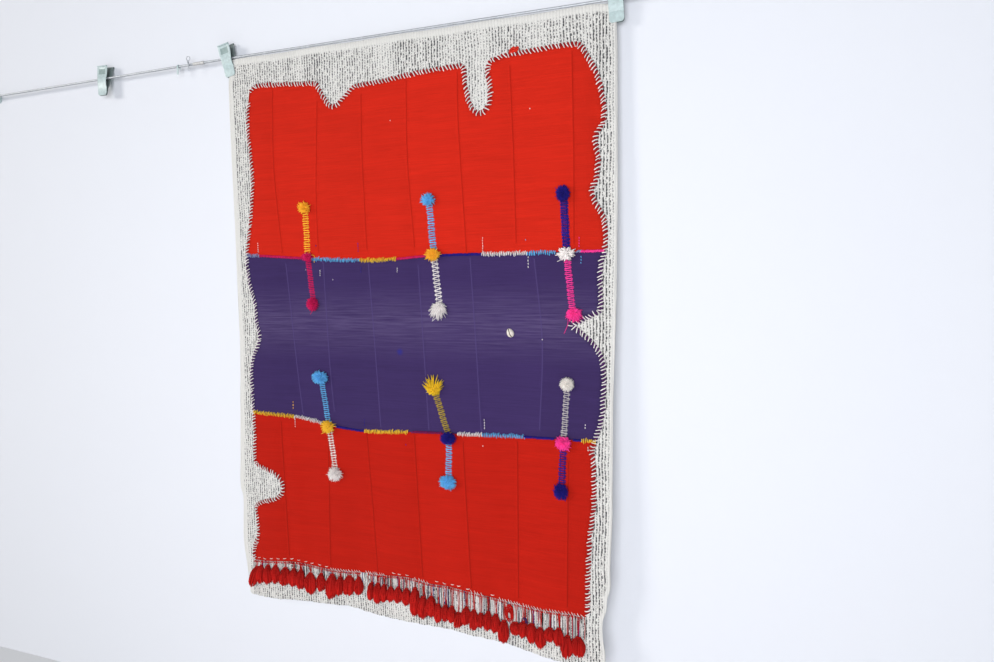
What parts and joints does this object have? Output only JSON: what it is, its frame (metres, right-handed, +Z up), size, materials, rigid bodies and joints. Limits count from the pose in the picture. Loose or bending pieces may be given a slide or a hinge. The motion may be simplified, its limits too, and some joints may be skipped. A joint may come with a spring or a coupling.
{
  "type": "textile wall hanging on a hanging wire",
  "caption": "Flat-woven cloth with sewn-on red and purple bands, wool pompoms and a tassel fringe, clipped to a taut steel wire between two wall plates.",
  "frame": {"origin": "centre of the left wall plate's back face, on the wall", "axes": "+X along the wall to the viewer's right, +Y into the wall, +Z up; the cloth faces -Y"},
  "size_m": [2.5254, 0.0688, 1.8465],
  "materials": {
    "speckled_ground": "flat weave, black and off-white speckle",
    "red_wool_cloth": "plain weave",
    "purple_wool_cloth": "plain weave",
    "deep_red_wool_cloth": "plain weave",
    "amber_wool": "cut yarn",
    "magenta_wool": "cut yarn",
    "sky_wool": "cut yarn",
    "white_wool": "cut yarn",
    "navy_wool": "cut yarn",
    "fuchsia_wool": "cut yarn",
    "mustard_wool": "cut yarn",
    "ivory_wool": "cut yarn",
    "deep_red_wool": "soft spun tassels",
    "red_wool": "loose thread",
    "shell": "polished natural shell",
    "coated_steel": "pale grey-green satin coat",
    "spring_steel": "dark tempered",
    "wire_steel": "drawn"
  },
  "bodies": {
    "root": {"ground_kilim": "speckled_ground", "upper_red_band": "red_wool_cloth", "purple_band": "purple_wool_cloth", "lower_red_band": "deep_red_wool_cloth", "pompom_a1_top": "amber_wool", "pompom_a1_middle": "magenta_wool", "pompom_a1_bottom": "magenta_wool", "pompom_a2_top": "sky_wool", "pompom_a2_middle": "amber_wool", "pompom_a2_bottom": "white_wool", "pompom_a3_top": "navy_wool", "pompom_a3_middle": "white_wool", "pompom_a3_bottom": "fuchsia_wool", "pompom_b1_top": "sky_wool", "pompom_b1_middle": "amber_wool", "pompom_b1_bottom": "white_wool", "pompom_b2_top": "mustard_wool", "pompom_b2_middle": "navy_wool", "pompom_b2_bottom": "sky_wool", "pompom_b3_top": "ivory_wool", "pompom_b3_middle": "fuchsia_wool", "pompom_b3_bottom": "navy_wool", "bar_a1_upper": "amber_wool", "bar_a1_lower": "magenta_wool", "bar_a2_upper": "sky_wool", "bar_a2_lower": "white_wool", "bar_a3_upper": "navy_wool", "bar_a3_lower": "fuchsia_wool", "bar_b1_upper": "sky_wool", "bar_b1_lower": "white_wool", "bar_b2_upper": "mustard_wool", "bar_b2_lower": "sky_wool", "bar_b3_upper": "white_wool", "bar_b3_lower": "navy_wool", "tassel_fringe_left": "deep_red_wool", "tassel_fringe_middle": "deep_red_wool", "tassel_fringe_right": "deep_red_wool", "cowrie_shell": "shell", "red_thread_tuft": "red_wool", "clip_spare_front_leaf": "coated_steel", "clip_spare_back_leaf": "coated_steel", "clip_spare_spring": "spring_steel", "clip_left_front_leaf": "coated_steel", "clip_left_back_leaf": "coated_steel", "clip_left_spring": "spring_steel", "clip_right_front_leaf": "coated_steel", "clip_right_back_leaf": "coated_steel", "clip_right_spring": "spring_steel", "wire_splice_sleeve": "wire_steel", "strap_hook": "coated_steel", "loop_hook": "wire_steel", "hanging_wire": "wire_steel", "wall_plate_left": "coated_steel", "wire_ferrule_left": "spring_steel", "wall_plate_right": "coated_steel", "wire_ferrule_right": "spring_steel"}
  },
  "joints": []
}
